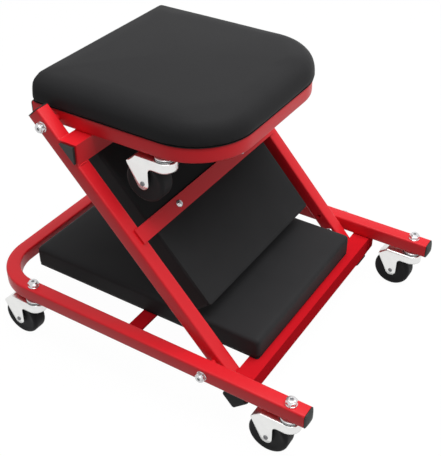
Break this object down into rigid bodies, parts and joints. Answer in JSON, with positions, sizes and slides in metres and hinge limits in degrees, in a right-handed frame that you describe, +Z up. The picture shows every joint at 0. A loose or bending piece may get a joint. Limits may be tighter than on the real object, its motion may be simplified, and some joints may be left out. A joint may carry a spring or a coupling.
{
  "type": "mechanics creeper",
  "caption": "Folding garage creeper set up as a rolling seat: square tube base on casters, sloping hinged back section and a padded seat that all unfold flat.",
  "frame": {"origin": "on the floor under the middle of the whole object as it stands as a seat", "axes": "+Z up, +X from the bent end of the base towards its capped end, +Y across"},
  "size_m": [0.497, 0.4056, 0.3789],
  "materials": {
    "red_paint": "glossy red powder coat",
    "black_vinyl": "fine-grained black vinyl over foam",
    "black_plastic": "satin black moulded plastic",
    "black_rubber": "matte black rubber",
    "plywood": "raw plywood, covered by the pads",
    "white_zinc": "bright white zinc plate",
    "bright_steel": "bright plated steel"
  },
  "bodies": {
    "base": {"base_frame": "red_paint", "base_cross_bar": "red_paint", "stop_angle": "red_paint", "base_end_cap_near": "black_plastic", "base_end_cap_far": "black_plastic", "base_pad_board": "plywood", "base_pad": "black_vinyl", "lower_pivot_bolt_near": "bright_steel", "lower_pivot_bolt_far": "bright_steel", "lower_pivot_spacer_near": "red_paint", "lower_pivot_spacer_far": "red_paint", "caster_stem_cap_near": "bright_steel", "caster_stem_cap_far": "bright_steel", "caster_stem_bend_near": "bright_steel", "caster_stem_bend_far": "bright_steel"},
    "middle": {"middle_tube_near": "red_paint", "middle_tube_far": "red_paint", "middle_foot_near": "black_rubber", "middle_foot_far": "black_rubber", "middle_end_cap_near": "black_plastic", "middle_end_cap_far": "black_plastic", "middle_cross_bar": "red_paint", "middle_pad_board": "plywood", "middle_pad": "black_vinyl", "middle_pad_screw_near": "bright_steel", "middle_pad_screw_far": "bright_steel", "seat_rest_angle": "red_paint", "rest_angle_cap_near": "black_plastic", "rest_angle_cap_far": "black_plastic", "upper_pivot_bolt_near": "bright_steel", "upper_pivot_bolt_far": "bright_steel", "upper_pivot_spacer_near": "red_paint", "upper_pivot_spacer_far": "red_paint"},
    "seat": {"seat_frame": "red_paint", "seat_rear_tube": "red_paint", "seat_end_cap_near": "black_plastic", "seat_end_cap_far": "black_plastic", "seat_board": "plywood", "seat_pad": "black_vinyl", "caster_stem_seat_near": "bright_steel", "caster_stem_seat_far": "bright_steel"},
    "fork_cap_near": {"caster_fork_cap_near": "white_zinc", "caster_axle_cap_near": "bright_steel"},
    "wheel_cap_near": {"caster_wheel_cap_near": "black_rubber"},
    "fork_cap_far": {"caster_fork_cap_far": "white_zinc", "caster_axle_cap_far": "bright_steel"},
    "wheel_cap_far": {"caster_wheel_cap_far": "black_rubber"},
    "fork_bend_near": {"caster_fork_bend_near": "white_zinc", "caster_axle_bend_near": "bright_steel"},
    "wheel_bend_near": {"caster_wheel_bend_near": "black_rubber"},
    "fork_bend_far": {"caster_fork_bend_far": "white_zinc", "caster_axle_bend_far": "bright_steel"},
    "wheel_bend_far": {"caster_wheel_bend_far": "black_rubber"},
    "fork_seat_near": {"caster_fork_seat_near": "white_zinc", "caster_axle_seat_near": "bright_steel"},
    "wheel_seat_near": {"caster_wheel_seat_near": "black_rubber"},
    "fork_seat_far": {"caster_fork_seat_far": "white_zinc", "caster_axle_seat_far": "bright_steel"},
    "wheel_seat_far": {"caster_wheel_seat_far": "black_rubber"}
  },
  "joints": [
    {"name": "middle_fold", "type": "hinge", "parent": "base", "child": "middle", "pos_m": [0.1065, 0, 0.0757], "axis": [0, 1, 0], "range_deg": [0, 132.6]},
    {"name": "seat_fold", "type": "hinge", "parent": "middle", "child": "seat", "pos_m": [-0.12838, 0, 0.33113], "axis": [0, 1, 0], "range_deg": [-132.6, 0]},
    {"name": "swivel_cap_near", "type": "hinge", "parent": "base", "child": "fork_cap_near", "pos_m": [0.222, -0.185, 0.0657], "axis": [0, 0, 1], "continuous": true},
    {"name": "spin_cap_near", "type": "hinge", "parent": "fork_cap_near", "child": "wheel_cap_near", "pos_m": [0.1983, -0.185, 0.02675], "axis": [0, 1, 0], "continuous": true},
    {"name": "swivel_cap_far", "type": "hinge", "parent": "base", "child": "fork_cap_far", "pos_m": [0.222, 0.185, 0.0657], "axis": [0, 0, 1], "continuous": true},
    {"name": "spin_cap_far", "type": "hinge", "parent": "fork_cap_far", "child": "wheel_cap_far", "pos_m": [0.1983, 0.185, 0.02675], "axis": [0, 1, 0], "continuous": true},
    {"name": "swivel_bend_near", "type": "hinge", "parent": "base", "child": "fork_bend_near", "pos_m": [-0.168, -0.185, 0.0657], "axis": [0, 0, 1], "continuous": true},
    {"name": "spin_bend_near", "type": "hinge", "parent": "fork_bend_near", "child": "wheel_bend_near", "pos_m": [-0.1917, -0.185, 0.02675], "axis": [0, 1, 0], "continuous": true},
    {"name": "swivel_bend_far", "type": "hinge", "parent": "base", "child": "fork_bend_far", "pos_m": [-0.168, 0.185, 0.0657], "axis": [0, 0, 1], "continuous": true},
    {"name": "spin_bend_far", "type": "hinge", "parent": "fork_bend_far", "child": "wheel_bend_far", "pos_m": [-0.1917, 0.185, 0.02675], "axis": [0, 1, 0], "continuous": true},
    {"name": "swivel_seat_near", "type": "hinge", "parent": "seat", "child": "fork_seat_near", "pos_m": [0.01862, -0.13, 0.32113], "axis": [0, 0, 1], "continuous": true},
    {"name": "spin_seat_near", "type": "hinge", "parent": "fork_seat_near", "child": "wheel_seat_near", "pos_m": [-0.00508, -0.13, 0.28218], "axis": [0, 1, 0], "continuous": true},
    {"name": "swivel_seat_far", "type": "hinge", "parent": "seat", "child": "fork_seat_far", "pos_m": [0.01862, 0.13, 0.32113], "axis": [0, 0, 1], "continuous": true},
    {"name": "spin_seat_far", "type": "hinge", "parent": "fork_seat_far", "child": "wheel_seat_far", "pos_m": [-0.00508, 0.13, 0.28218], "axis": [0, 1, 0], "continuous": true}
  ],
  "couplings": [
    {"joint": "seat_fold", "follows": "middle_fold", "ratio": -1}
  ]
}
